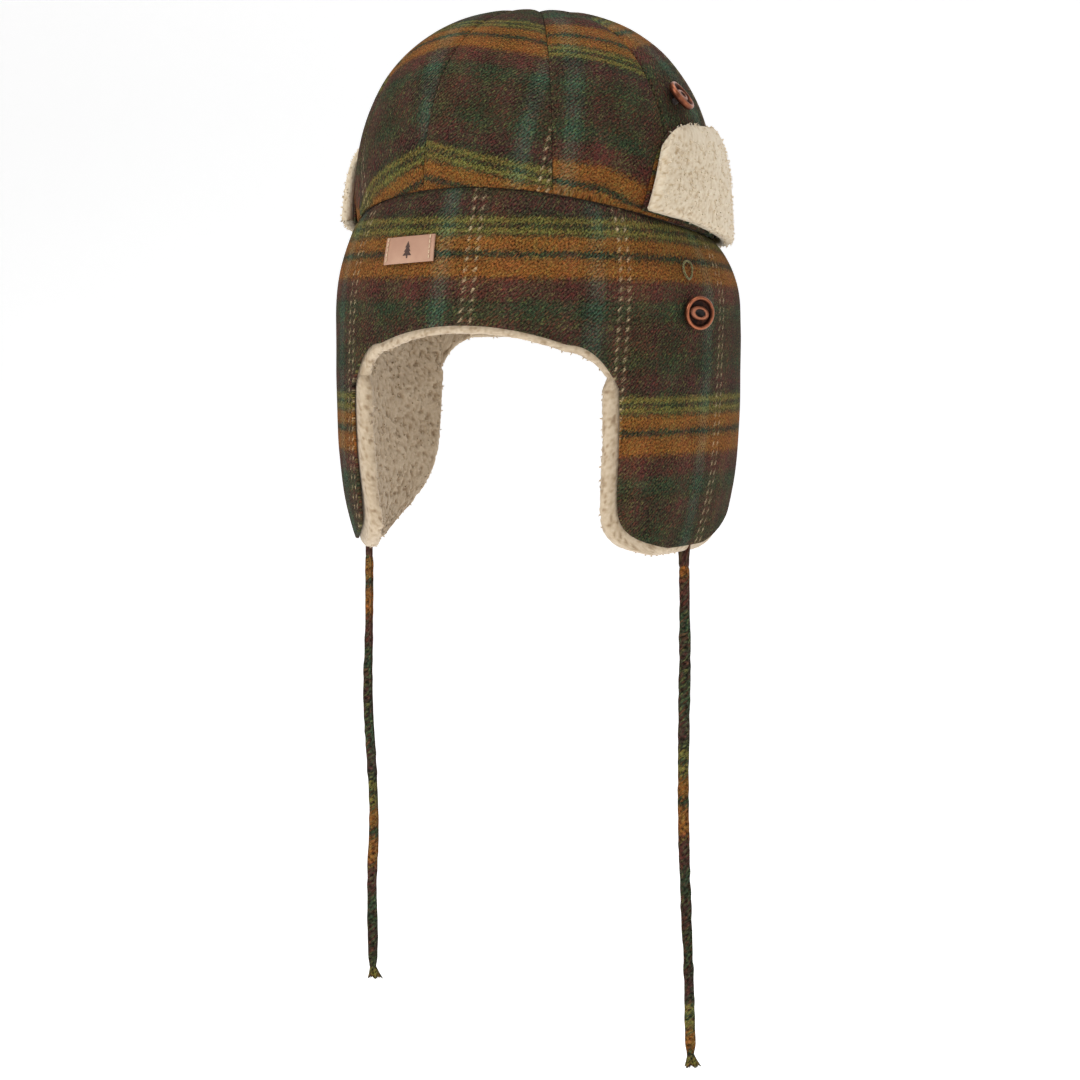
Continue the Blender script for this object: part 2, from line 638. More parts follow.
def layer_mesh(name, place, u_side, v_side, outer, inner, cloth=None, free_below=None):
    """A closed layer of cloth. place(u, v, inset) gives points; u_side and v_side come from side_shares.
    outer and inner are its two faces' insets, and they meet half way at a rounded rim.
    free_below is the share of v up to which the front and rear edges are free and rounded."""
    u, v = np.meshgrid(u_side[0], v_side[0], indexing="ij")
    free = 1.0 if free_below is None else np.clip((free_below - v) / 0.05, 0, 1)
    full = (1 - free * (1 - u_side[1][:, None])) * v_side[1][None, :]
    middle = (outer + inner) / 2
    faces_at = [middle + (face - middle) * full for face in (outer, inner)]
    points = np.concatenate([place(u, v, inset).reshape(-1, 3) for inset in faces_at])
    columns, rows = u.shape
    inside = columns * rows
    quads = np.concatenate([grid_faces(columns, rows, 0, False), grid_faces(columns, rows, inside, True),
                            side_faces(columns, rows, inside)])
    spots = None if cloth is None else np.tile(cloth(u, v).reshape(-1, 2), (2, 1))
    return new_object(name, points, quads, spots)


def points_of(thing):
    values = np.empty(len(thing.data.vertices) * 3)
    thing.data.vertices.foreach_get("co", values)
    return values.reshape(-1, 3) / MM


def normals_of(thing):
    values = np.empty(len(thing.data.vertices) * 3, np.float32)
    thing.data.vertex_normals.foreach_get("vector", values)
    return values.reshape(-1, 3)


MEAN_LEVEL = 0.55                    # of the lumps, which leaves the pile as thick as it was


def outwardness(points, normals, shift):
    """How far each normal points away from the head's middle line, from -1 to 1. shift is that line's Y."""
    radial = (points - (0, shift, 0)) * (1, 1, 0)
    radial /= np.linalg.norm(radial, axis=1, keepdims=True)
    return (normals * radial).sum(1)


def grows_inward(points, normals):
    """Where the pile inside the hat grows: on the face and the edges that don't lie against the plaid."""
    return np.clip(0.6 - outwardness(points, normals, 0), 0, 1)


def grows_outward(points, normals):
    """The same for the turned-up neck flap, whose pile is outside."""
    return np.clip(0.65 + outwardness(points, normals, CROWN_SHIFT), 0, 1)


def fleece(thing, seed, size, height, tufts, facing):
    """Raises lumps of pile on a piece and plants tapered tufts of it. tufts is how many stand on 100 points.
    facing(points, normals) says how strongly the pile grows there, from 0 to 1."""
    points, normals = points_of(thing), normals_of(thing)
    grows = facing(points, normals)
    fine = waves(points, size * 0.6, seed + 5) * 0.5 + 0.5
    level = lumps(points, size, seed) * 0.75 + 0.25 * fine
    rise = (level - MEAN_LEVEL) * height + waves(points, 14.0, seed + 9) * 0.5
    moved = points + normals * rise[:, None] * grows[:, None]
    thing.data.vertices.foreach_set("co", (moved * MM).ravel())
    give_values(thing.data, "pile_height", level)
    thing.data.update()
    plant_tufts(thing, moved, normals, grows, seed, tufts)


def plant_tufts(thing, points, normals, grows, seed, tufts):
    """Short locks of pile, three-sided and tapered, each leaning its own way and curling at the tip."""
    random = np.random.default_rng(seed)
    able = np.flatnonzero(grows > 0.5)
    roots = random.choice(able, int(len(able) * tufts / 100), replace=False)
    count = len(roots)
    base, out = points[roots] - normals[roots] * 0.4, normals[roots]
    lean = random.normal(0, 1, (count, 3))
    lean -= out * (lean * out).sum(1, keepdims=True)
    lean /= np.linalg.norm(lean, axis=1, keepdims=True)
    other = np.cross(out, lean)
    long = random.uniform(1.4, 2.6, (count, 1))
    wide = random.uniform(0.35, 0.6, (count, 1))
    slope = random.uniform(0.3, 1.1, (count, 1))
    middle = base + (out + lean * slope * 0.4) * long * 0.5
    tip = base + (out * 0.75 + lean * slope) * long * 0.85
    rings = []
    for centre, share in ((base, 1.0), (middle, 0.8)):
        for corner in range(3):
            turn = 2 * math.pi * corner / 3
            rings.append(centre + (lean * math.cos(turn) + other * math.sin(turn)) * wide * share)
    places = np.stack(rings + [tip], 1).reshape(-1, 3)
    first = len(points) + 7 * np.arange(count)
    faces = []
    for corner in range(3):
        after = (corner + 1) % 3
        faces += [np.stack([first + corner, first + after, first + after + 3, first + corner + 3], 1),
                  np.stack([first + corner + 3, first + after + 3, first + 6, first + 6], 1)]
    add_faces(thing, places, faces, np.tile([0.5, 0.5, 0.5, 0.8, 0.8, 0.8, 1.0], count))


def add_faces(thing, places, faces, level):
    """Adds loose tufts to a mesh. A face that names a point twice is a triangle."""
    old = thing.data
    points = np.concatenate([points_of(thing), places])
    heights = np.empty(len(old.vertices), np.float32)
    old.attributes["pile_height"].data.foreach_get("value", heights)
    quads = [list(polygon.vertices) for polygon in old.polygons]
    for group in faces:
        rows = group[:, :3] if (group[:, 2] == group[:, 3]).all() else group
        quads += rows.tolist()
    smooth = [number < len(old.polygons) for number in range(len(quads))]
    mesh = bpy.data.meshes.new(thing.name)
    mesh.from_pydata((points * MM).tolist(), [], quads)
    give_values(mesh, "pile_height", np.concatenate([heights, level]))
    mesh.polygons.foreach_set("use_smooth", smooth)
    mesh.update()
    thing.data = mesh
    bpy.data.meshes.remove(old)
    mesh.name = thing.name


def dress(thing, material, slot, body, *nodes):
    """Gives a piece its material, its slot in the record, the CAD nodes that it stands for and the body that
    it rides on, which is None for a piece that bends between two."""
    thing.data.materials.append(material)
    if nodes:
        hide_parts(*nodes)
    if body:
        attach(thing, body)


def bend_with_flap(thing):
    """Part of the hat above the fold, part of the ear flap below it, and bent smoothly between."""
    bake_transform(thing)


# ---------------------------------------------------------------- ties

def spline_points(name, route):
    """The smooth line of a NURBS spline with the route's points as its control points, in metres."""
    data = bpy.data.curves.new(name, "CURVE")
    data.dimensions, data.resolution_u = "3D", 24
    spline = data.splines.new("NURBS")
    spline.points.add(len(route) - 1)
    for point, place in zip(spline.points, route):
        point.co = (*place, 1.0)
    spline.order_u = 3
    spline.use_endpoint_u = True
    line = bpy.data.objects.new(name, data)
    bpy.context.scene.collection.objects.link(line)
    bpy.context.view_layer.update()
    mesh = bpy.data.meshes.new_from_object(line.evaluated_get(bpy.context.evaluated_depsgraph_get()))
    places = np.array([vertex.co[:] for vertex in mesh.vertices])
    bpy.data.objects.remove(line)
    bpy.data.meshes.remove(mesh)
    return places


def strip_section(count):
    """The outline of a folded and stitched strip: rounded edges, a fold on one side and a seam groove."""
    turn = np.linspace(0, 2 * math.pi, count, endpoint=False)
    wide = np.sign(np.cos(turn)) * np.abs(np.cos(turn)) ** 0.75 * TIE_W / 2
    thick = np.sign(np.sin(turn)) * np.abs(np.sin(turn)) ** 0.9 * TIE_T / 2
    groove = 0.75 * np.exp(-((wide - 1.1) / 0.45) ** 2) * (np.sin(turn) < -0.3)
    return np.stack([wide, thick + groove], -1)


def turned(x, y, angle):
    """x and y, turned about Z."""
    return x * math.cos(angle) - y * math.sin(angle), x * math.sin(angle) + y * math.cos(angle)


def make_tie(name, material):
    """A narrow strip of the plaid, folded in on itself and stitched, hanging with slow twists."""
    pivot = np.array(TIE_PIVOTS[name])
    side = SIDES[name]
    route = (pivot + np.array(TIE_ROUTES[name]) * (1, 1, -1)) * MM
    path = spline_points(f"tie_line_{name}", route.tolist())
    down = lengths_along(path) / MM
    rows = np.linspace(0, down[-1], int(down[-1] / 1.4) + 1)
    centre = np.stack([np.interp(rows, down, path[:, axis]) for axis in range(3)], -1) / MM
    count = 20
    section = strip_section(count)
    spots = np.stack([rows, np.full_like(rows, 50.0 * side), np.zeros_like(rows)], -1)
    turn = np.radians(20.0 * side) + 0.55 * waves(spots, 46.0, 3)
    pinch = 1 - 0.34 * np.exp(-((rows - down[-1]) / 3.0) ** 2)
    width = (1 + 0.10 * waves(spots, 17.0, 4) + 0.05 * waves(spots, 5.0, 8)) * pinch
    width *= np.clip(0.45 + rows / 3.0, 0, 1)
    points, cloth = [], []
    around_strip = np.linspace(0, 2 * TIE_W, count, endpoint=False) + 40.0
    for fallen, place, angle, size in zip(rows, centre, turn, width):
        x, y = turned(section[:, 0] * size, section[:, 1] * (0.85 + 0.15 * size), angle)
        points.append(np.stack([place[0] + x, place[1] + y, np.full(count, place[2])], -1))
        cloth.append(np.stack([around_strip, np.full(count, 44.0 - 8.0 * side - fallen * 0.65)], -1))
    points = np.array(points)
    crumple = points + 0.22 * np.stack([waves(points, 3.4, seed) for seed in (11, 12, 13)], -1)
    tie = new_object(f"tie_cloth_{name}", crumple, tube_faces(len(rows), count), cloth)
    dress(tie, material, "tie_plaid", f"tie_{name}", f"tie_{name}")
    end = make_frayed_end(name, centre[-1], turn[-1], material)
    make_tie_root(name, pivot, turn[0], material)


def make_frayed_end(name, place, angle, material):
    """The cut end, pinched and then opened out into a few frayed folds."""
    rings, count, length = 7, 24, 6.0
    points, cloth = [], []
    for ring_number in range(rings):
        share = ring_number / (rings - 1)
        turn = np.linspace(0, 2 * math.pi, count, endpoint=False)
        spread = 0.62 + 0.72 * share ** 1.3
        folds = 1 + share * (0.22 * np.sin(3 * turn + 1.0) + 0.12 * np.sin(7 * turn))
        x = np.cos(turn) * TIE_W / 2 * spread * folds
        y = np.sin(turn) * TIE_T / 2 * (spread + 0.25 * share) * folds
        x, y = turned(x, y, angle)
        drop = length * share * (1 + 0.16 * np.sin(5 * turn + 0.5) * share)
        points.append(np.stack([place[0] + x + 0.9 * share, place[1] + y, place[2] + 0.5 - drop], -1))
        cloth.append(np.stack([np.linspace(0, 2 * TIE_W, count), np.full(count, 56.0 - 4 * share)], -1))
    points.append(np.stack([np.full(count, place[0] + 0.9), np.full(count, place[1]),
                            np.full(count, place[2] - length * 0.62)], -1))
    cloth.append(cloth[-1])
    faces = tube_faces(rings + 1, count, far_cap=False)
    places, flat = np.array(points).reshape(-1, 3), np.array(cloth).reshape(-1, 2)
    yarns, yarn_faces, yarn_flat = frayed_yarns(place, angle, length, len(places))
    end = new_object(f"tie_fray_{name}", np.concatenate([places, yarns]), faces + yarn_faces,
                     np.concatenate([flat, yarn_flat]))
    dress(end, material, "tie_plaid", f"tie_{name}", f"tie_end_{name}")
    return end


def frayed_yarns(place, angle, length, first):
    """Loose yarn ends that stick out of the cut."""
    random = np.random.default_rng(31)
    points, faces, cloth = [], [], []
    for _ in range(26):
        turn = random.uniform(0, 2 * math.pi)
        out = np.array([math.cos(turn) * TIE_W * 0.42, math.sin(turn) * TIE_T * 0.45])
        lean = out * random.uniform(0.1, 0.45)
        root = np.array([out[0], out[1], -length * 0.8])
        tip = np.array([out[0] + lean[0], out[1] + lean[1], -length * random.uniform(1.02, 1.3)])
        begin = first + len(points)
        for corner in range(3):
            step = 2 * math.pi * corner / 3
            points.append(root + np.array([math.cos(step), math.sin(step), 0]) * 0.32)
        points.append(tip)
        faces += [(begin, begin + 1, begin + 3), (begin + 1, begin + 2, begin + 3),
                  (begin + 2, begin, begin + 3), (begin + 2, begin + 1, begin)]
        cloth += [(random.uniform(0, 60), random.uniform(30, 60))] * 4
    x, y, z = np.array(points).T
    x, y = turned(x, y, angle)
    return np.stack([x + 0.9, y, z + 0.5], -1) + place, faces, np.array(cloth)


def make_tie_root(name, pivot, angle, material):
    """The tie's sewn end, wide where it goes up between the flap's layers and rounded at its swing."""
    top = FLAP_TIP_Z + 4.0
    rows, count = 16, 20
    section = strip_section(count)
    around_strip = np.linspace(0, 2 * TIE_W, count) + 40.0
    points, cloth = [], []
    for row in range(rows):
        share = row / (rows - 1)
        z = top + (pivot[2] - 1.5 - top) * share
        wide = 1.35 - 0.4 * min(1.0, share * 1.6)
        near_end = min(1.0, (1 - share) * 5.0)
        size = math.sqrt(max(0.04, 1 - (1 - near_end) ** 2))
        x, y = turned(section[:, 0] * wide * size, section[:, 1] * (0.75 + 0.2 * share) * size, angle)
        points.append(np.stack([pivot[0] + x, pivot[1] + y, np.full(count, z)], -1))
        cloth.append(np.stack([around_strip, np.full(count, 30.0 + (z + 100.0) * 0.3)], -1))
    root = new_object(f"tie_sewn_end_{name}", points, tube_faces(rows, count), cloth)
    dress(root, material, "tie_plaid", f"ear_flap_{name}", f"tie_root_{name}")


# ---------------------------------------------------------------- band and ear flaps

FLAP_SHARE = 0.5                     # of the side piece's rows are below the fold
PILE_SHARE = 0.57                    # and up to here the pile still stands out past the plaid
SIDE_ROUND, SIDE_DROP = 150.0, 160.0  # about what a side piece measures, round the head and down
MM_TO_A_DEGREE = 1.8                 # round the band, near enough for an edge's margin


def cloth_waves(points, depth):
    """Soft unevenness of sewn cloth, the same on both sides of a join."""
    return depth * (0.75 * waves(points, 38.0, 41) + 0.35 * waves(points, 16.0, 42))


def band_skin(angle, z, inset, depth=0.8):
    """A point on the plaid, with its puckers. They fade at the crown's seam."""
    still = band_point(angle, z, inset)
    fade = np.clip((seam_z(angle) - z) / 10.0, 0, 1)
    seam_tuck = 1.3 * np.exp(-((seam_z(angle) - z) / 2.2) ** 2)
    return band_point(angle, z, inset - cloth_waves(still, depth) * fade + seam_tuck)


def make_band_skin(name, start, end, material, node):
    """The front or the back length of the plaid band."""
    drop = seam_z(start) - edge_z(start)
    u_side = side_shares(abs(arc(end) - arc(start)), CLOTH_STEP)
    v_side = side_shares(drop, CLOTH_STEP * 0.8, low_rim=1.6)

    def height(angle, v):
        return edge_z(angle) + (seam_z(angle) - edge_z(angle)) * v

    def place(u, v, inset):
        angle = start + (end - start) * u
        return band_skin(angle, height(angle, v), inset)

    def cloth(u, v):
        angle = start + (end - start) * u
        return band_cloth(angle, height(angle, v))

    skin = layer_mesh(name, place, u_side, v_side, 0.0, PLAID_T, cloth)
    dress(skin, material, "plaid_band", "hat", node)


def side_place(side, low_margin, u, v, inset, skin):
    """A point on the side of the band and down the ear flap: v is 0 at the tip and 1 at the seam.
    low_margin is how far the piece stands out past the plaid, below and at the flap's edges."""
    depth = np.clip(1 - v / FLAP_SHARE, 0, 1)
    below = np.clip((PILE_SHARE - v) / (PILE_SHARE - FLAP_SHARE), 0, 1)
    grow = low_margin / MM_TO_A_DEGREE * below
    roll = PILE_ROLL / MM_TO_A_DEGREE * below if low_margin else 0.0
    front, rear = flap_front(depth) - grow - roll, flap_rear(depth) + grow
    angle = front + (rear - front) * u
    low = FOLD_Z - (FOLD_Z - FLAP_TIP_Z + low_margin) * depth
    high = FOLD_Z + (seam_z(angle) - FOLD_Z) * np.clip((v - FLAP_SHARE) / (1 - FLAP_SHARE), 0, 1)
    z = np.where(v < FLAP_SHARE, low, high)
    return skin(side * angle, z, inset), side * angle, z


def make_side_skin(name, material):
    """The plaid at one side of the band and down its ear flap, in one cloth."""
    side = SIDES[name]
    u_side = side_shares(SIDE_ROUND, CLOTH_STEP, 1.4, 1.4)
    v_side = side_shares(SIDE_DROP, CLOTH_STEP, low_rim=1.6)

    def place(u, v, inset):
        return side_place(side, 0.0, u, v, inset, band_skin)[0]

    def cloth(u, v):
        _, angle, z = side_place(side, 0.0, u, v, 0.0 * u, band_skin)
        return band_cloth(angle, z)

    skin = layer_mesh(f"plaid_side_{name}", place, u_side, v_side, 0.0, PLAID_T, cloth, FLAP_SHARE)
    dress(skin, material, "plaid_band", None, f"band_{name}", f"ear_flap_{name}")
    bend_with_flap(skin)


def make_side_pile(name, material):
    """The sherpa behind that plaid."""
    side = SIDES[name]
    lined = PLAID_T + GAP
    u_side = side_shares(SIDE_ROUND, INNER_PILE_STEP, 3.2, 3.2)
    v_side = side_shares(SIDE_DROP, INNER_PILE_STEP, low_rim=3.2)

    def place(u, v, inset):
        return side_place(side, LINING_OVERHANG, u, v, inset, band_point)[0]

    pile = layer_mesh(f"sherpa_side_{name}", place, u_side, v_side, lined, lined + PILE_T,
                      free_below=PILE_SHARE)
    fleece(pile, 50 + side, 2.1, 1.3, 7.0, grows_inward)
    dress(pile, material, "sherpa_cream", None, f"band_lining_{name}", f"ear_flap_lining_{name}")
    bend_with_flap(pile)


def make_band_pile(name, start, end, material, node):
    """The sherpa behind the brow or the nape, standing a little below the plaid."""
    lined = PLAID_T + GAP
    u_side = side_shares(abs(arc(end) - arc(start)), INNER_PILE_STEP)
    v_side = side_shares(62.0, INNER_PILE_STEP, low_rim=3.2)

    def place(u, v, inset):
        angle = start + (end - start) * u
        turn = around(angle)
        from_flap = np.maximum(np.maximum(FLAP_FRONT - turn, turn - FLAP_REAR), 0)
        low = edge_z(angle) - LINING_OVERHANG * np.minimum(1, from_flap / 9.0)
        return band_point(angle, low + (seam_z(angle) - low) * v, inset)

    pile = layer_mesh(name, place, u_side, v_side, lined, lined + PILE_T)
    fleece(pile, 60 + int(start) % 7, 2.1, 1.3, 7.0, grows_inward)
    dress(pile, material, "sherpa_cream", "hat", node)


def make_band(plaid, inner_pile):
    back = 360 - FLAP_REAR
    make_band_skin("plaid_brow", -FLAP_FRONT, FLAP_FRONT, plaid, "band_front")
    make_band_skin("plaid_nape", FLAP_REAR, back, plaid, "band_back")
    make_band_pile("sherpa_brow", -FLAP_FRONT, FLAP_FRONT, inner_pile, "band_lining_front")
    make_band_pile("sherpa_nape", FLAP_REAR, back, inner_pile, "band_lining_back")
    for name in SIDES:
        make_side_skin(name, plaid)
        make_side_pile(name, inner_pile)


# ---------------------------------------------------------------- crown

# How each panel was cut from the cloth: turned by these degrees, then moved along and up by these millimetres
PANEL_CUTS = ((8, 10, 5), (171, 30, 47), (22, 10, 47), (-11, 38, 45),
              (169, 26, 47), (12, 45, 18), (-12, 20, 0), (176, 60, 40))


def make_crown_panel(number, start, end, material):
    """One plaid panel, puffed a little between its seams, with its edges turned in to a crease."""
    turn, along, up = PANEL_CUTS[number - 1]
    middle = (start + end) / 2
    low_climb = float(climb_of(seam_z(middle)))
    u_side = side_shares((end - start) * 1.62, CLOTH_STEP, 2.4, 2.4)
    v_side = side_shares(150.0, CLOTH_STEP, low_rim=2.0)

    def climb(angle, v):
        low = climb_of(seam_z(angle) + GAP)
        return low + (1 - low) * v

    def place(u, v, inset):
        angle = start + (end - start) * u
        rise = climb(angle, v)
        still = dome_point(angle, rise, inset)
        puff = 1.5 * np.clip(1 - np.abs(2 * u - 1) ** 3, 0, 1)
        puff *= np.clip(v / 0.12, 0, 1) * np.clip((1 - v) / 0.12, 0, 1)
        fade = np.clip(v / 0.08, 0, 1) * np.clip((1 - v) / 0.1, 0, 1)
        return dome_point(angle, rise, inset - puff - cloth_waves(still, 0.6) * fade)

    def cloth(u, v):
        angle = start + (end - start) * u
        rows = np.linspace(0, 1, 121)
        line = dome_point(middle, low_climb + (1 - low_climb) * rows, 0.0)
        lengths = lengths_along(line)
        radius = np.hypot(line[:, 0], line[:, 1] - CROWN_SHIFT)
        x = np.radians(angle - middle) * np.interp(v, rows, radius)
        y = np.interp(v, rows, lengths) + (seam_z(angle) - seam_z(middle)) * (1 - v)
        bend = math.radians(turn)
        return np.stack([x * math.cos(bend) + y * math.sin(bend) + along,
                         y * math.cos(bend) - x * math.sin(bend) + up], -1)

    panel = layer_mesh(f"plaid_crown_{number}", place, u_side, v_side, 0.0, PLAID_T, cloth)
    dress(panel, material, "plaid_crown", "hat", f"crown_panel_{number}")


QUILT_TOP = 0.995                    # of the climb, where the lining's quarters meet


def make_crown_lining(number, place_name, material):
    """A quarter of the lining, quilted in diamonds."""
    start, lined = 90.0 * number, PLAID_T + GAP
    u_side = side_shares(135.0, 3.0)
    v_side = side_shares(150.0, 3.0, low_rim=1.0)

    def place(u, v, inset):
        angle = start + 90.0 * u
        low = climb_of(seam_z(angle) + 3 * GAP)
        raised = quilted(angle, v) * (inset > lined + 1)
        return dome_point(angle, low + (QUILT_TOP - low) * v, inset + raised)

    def quilted(angle, v):
        one, two = angle / 7.5 + v * 12, angle / 7.5 - v * 12
        return 1.3 * np.minimum(np.abs(np.sin(math.pi * one)), np.abs(np.sin(math.pi * two))) ** 0.5 - 0.6

    lining = layer_mesh(f"quilt_{place_name}", place, u_side, v_side, lined, lined + QUILT_T)
    points = points_of(lining)
    angle = np.degrees(np.arctan2(points[:, 0] / CROWN_A, -(points[:, 1] - CROWN_SHIFT) / CROWN_B)) % 360
    low = climb_of(seam_z(angle) + 3 * GAP)
    height = np.clip((climb_of(points[:, 2]) - low) / (QUILT_TOP - low), 0, 1)
    give_values(lining.data, "pile_height", quilted(angle, height) + 0.6)
    dress(lining, material, "quilt_lining", "hat", f"crown_lining_{place_name}")


def make_crown(plaid, quilt):
    """Eight panels round from the right of the brow, and the four quarters of the lining."""
    seams = [-s for s in reversed(CROWN_SEAMS)] + list(CROWN_SEAMS) + [360 - CROWN_SEAMS[-1]]
    seams = [s + CROWN_TURN for s in seams]
    for number, (start, end) in enumerate(zip(seams, seams[1:]), 1):
        make_crown_panel(number, start, end, plaid)
    for number, place_name in enumerate(("front_left", "back_left", "back_right", "front_right")):
        make_crown_lining(number, place_name, quilt)


# ---------------------------------------------------------------- neck flap

NECK_DROOP = 3.6                     # the pile hangs this far over the seam, behind the ears


def neck_place(side, start, end, u, v, outset):
    """A point on a length of the neck flap. start is None where the length ends in the slanted front edge,
    whose top corner is round. The flap leans on the crown towards its top, and closer to it on the wearer's
    right."""
    first = NECK_FRONTS[side] + NECK_SLANT * v if start is None else start
    angle = first + (end - first) * u
    low = seam_z(angle) + NECK_LIFT
    corner = 15.0 * (1 - np.sqrt(1 - np.clip(1 - u / 0.34, 0, 1) ** 2)) * v ** 4 if start is None else 0.0
    left = np.sin(np.radians(side * angle))
    hug = (5.0 - 1.2 * left) * v ** 2 + 1.0 - 0.8 * left
    outset = outset * (1 - hug / (NECK_GAP + PLAID_T + GAP + PILE_T))
    return crown_wall_point(side * angle, low + (NECK_TOP_Z - corner - low) * v, outset), side * angle, angle


def make_neck_length(part, side, start, end, plaid, pile):
    """The plaid layer next to the crown and the sherpa outside it."""
    first = NECK_FRONTS[side] + 5 if start is None else start
    length = abs(end - first) * 1.68
    open_front = start is None
    skin_at, pile_at = NECK_GAP, NECK_GAP + PLAID_T + GAP

    def place(u, v, outset):
        return neck_place(side, start, end, u, v, outset)[0]

    def fur_place(u, v, outset):
        points, _, angle = neck_place(side, start, end, u, v, outset)
        points[..., 2] -= NECK_DROOP * np.clip((angle - 70.0) / 35.0, 0, 1) * (1 - v) ** 3
        return points

    def cloth(u, v):
        _, angle, _ = neck_place(side, start, end, u, v, 0.0 * u)
        return np.stack([arc(angle) + WARP_SHIFT, 20.0 + 50.0 * v], -1)

    u_side = side_shares(length, CLOTH_STEP, 1.4 if open_front else 0.0)
    v_side = side_shares(50.0, CLOTH_STEP, 1.0, 1.4)
    skin = layer_mesh(f"plaid_neck_{part}", place, u_side, v_side, skin_at + PLAID_T, skin_at, cloth)
    dress(skin, plaid, "plaid_band", f"neck_flap_{part}", f"neck_flap_{part}")

    u_side = side_shares(length, PILE_STEP, 3.3 if open_front else 0.0)
    v_side = side_shares(50.0, PILE_STEP, 2.4, 8.0)
    fur = layer_mesh(f"sherpa_neck_{part}", fur_place, u_side, v_side, pile_at + PILE_T, pile_at)

    fleece(fur, 70, 1.7, 0.8, 9.0, grows_outward)
    dress(fur, pile, "sherpa_cream", f"neck_flap_{part}", f"neck_flap_pile_{part}")


def make_neck_flap(plaid, pile):
    front_cut, back_cut = NECK_CUTS
    for name, side in SIDES.items():
        make_neck_length(f"front_{name}", side, None, front_cut, plaid, pile)
        make_neck_length(f"side_{name}", side, front_cut, back_cut, plaid, pile)
    make_neck_length("back", 1, back_cut, 360 - back_cut, plaid, pile)


# ---------------------------------------------------------------- buttons, loops and label

def outward_from(angle, tilt):
    """The direction square to the band's outside there, tilted up by some degrees."""
    turn, lift = math.radians(angle), math.radians(tilt)
    flat = Vector((math.sin(turn) / BAND_A, -math.cos(turn) / BAND_B, 0)).normalized()
    return (flat * math.cos(lift) + Vector((0, 0, math.sin(lift)))).normalized()


def towards(turn, lift):
    """The direction at this compass turn from straight ahead, lifted by some degrees."""
    turn, lift = math.radians(turn), math.radians(lift)
    return Vector((math.sin(turn) * math.cos(lift), -math.cos(turn) * math.cos(lift), math.sin(lift)))


def stand_on(points, foot, outward, roll=0.0):
    """Points modelled with Z as outward and X level, moved to stand on foot."""
    level = Vector((0, 0, 1)).cross(outward).normalized()
    upward = outward.cross(level)
    turn = math.radians(roll)
    across = level * math.cos(turn) + upward * math.sin(turn)
    above = upward * math.cos(turn) - level * math.sin(turn)
    frame_axes = np.array([across[:], above[:], outward[:]])
    return np.asarray(points) @ frame_axes + np.array(foot)


def lathe(name, profile, edges, foot, outward, count=64, squeeze=(1.0, 1.0), roll=0.0):
    """A turned piece from (radius, height) corners. edges says how rubbed each corner is, from 0 to 1."""
    turns = np.linspace(0, 2 * math.pi, count, endpoint=False)
    wide, high = squeeze
    local = [(radius * math.cos(turn) * wide, radius * math.sin(turn) * high, height)
             for radius, height in profile for turn in turns]
    points = stand_on(local, foot, outward, roll)
    return new_object(name, points, tube_faces(len(profile), count), edge=np.repeat(edges, count))


LEAN_ROOM = 1.2                      # a leaning button's shank starts this far off the cloth
SHELL_PROFILE = ((5.0, 2.7), (6.4, 2.62), (7.2, 2.85), (7.75, 3.4), (8.0, 4.1), (8.05, 4.8),
                 (7.9, 5.5), (7.5, 5.95), (6.95, 6.05), (6.5, 5.85), (6.2, 5.4), (6.0, 4.8),
                 (5.7, 4.3), (5.1, 4.1), (3.0, 4.05), (0.6, 4.05))
SHELL_EDGES = (0.2, 0.25, 0.3, 0.4, 0.5, 0.6, 0.8, 1.0, 0.95, 0.6, 0.3, 0.12, 0.05, 0.02, 0.0, 0.0)
BOSS_PROFILE = ((1.0, 4.1), (4.5, 4.1), (4.75, 4.4), (4.6, 4.9), (4.1, 5.4), (3.5, 5.7),
                (2.9, 5.8), (2.5, 5.65), (2.3, 5.3), (2.0, 5.0), (0.4, 4.9))
BOSS_EDGES = (0.1, 0.15, 0.3, 0.6, 0.8, 0.95, 1.0, 0.7, 0.1, 0.0, 0.0)


def make_button(name, foot, outward, roll, copper, boss, thread):
    """A fish-eye button: a cupped rim round an almond with a dark slit, on a sewn shank."""
    rim = lathe(f"rim_{name}", SHELL_PROFILE, SHELL_EDGES, foot, outward)
    dress(rim, copper, "button_copper", "hat", f"{name}_shell")
    eye = lathe(f"eye_{name}", BOSS_PROFILE, BOSS_EDGES, foot, outward, squeeze=(1.18, 0.74), roll=roll)
    dress(eye, boss, "button_boss", "hat", f"{name}_boss")
    heights = np.linspace(-LEAN_ROOM - 0.2, 2.8, 19)
    wraps = [(1.5 + 0.16 * math.cos(4 * math.pi * h), h) for h in heights]
    shank = lathe(f"shank_{name}", wraps, np.zeros(len(wraps)), foot, outward, count=24)
    dress(shank, thread, "button_thread", "hat", f"{name}_shank")


def make_loop(thread):
    """A small oval of twisted thread, sewn flat to the band."""
    outward = outward_from(66.0, 10.0)
    foot = band_point(66.0, 35.0, 0.0) + np.array(outward[:]) * 0.9
    along, count, thick = 96, 10, 0.45
    points = []
    for step in range(along):
        turn = 2 * math.pi * step / along
        centre = np.array([3.4 * math.cos(turn), 4.3 * math.sin(turn), 0.25 * math.sin(2 * turn)])
        out = np.array([math.cos(turn) / 3.4, math.sin(turn) / 4.3, 0])
        out /= np.linalg.norm(out)
        for corner in range(count):
            roll = 2 * math.pi * corner / count
            ply = thick * (1 + 0.3 * math.cos(2 * (roll + turn * 11)))
            points.append(centre + (out * math.cos(roll) + np.array([0, 0, 1]) * math.sin(roll)) * ply)
    faces = [(s * count + k, ((s + 1) % along) * count + k, ((s + 1) % along) * count + (k + 1) % count,
              s * count + (k + 1) % count) for s in range(along) for k in range(count)]
    loop = new_object("loop_thread", stand_on(points, foot, outward), faces)
    dress(loop, thread, "loop_olive", "hat", "thread_loop")


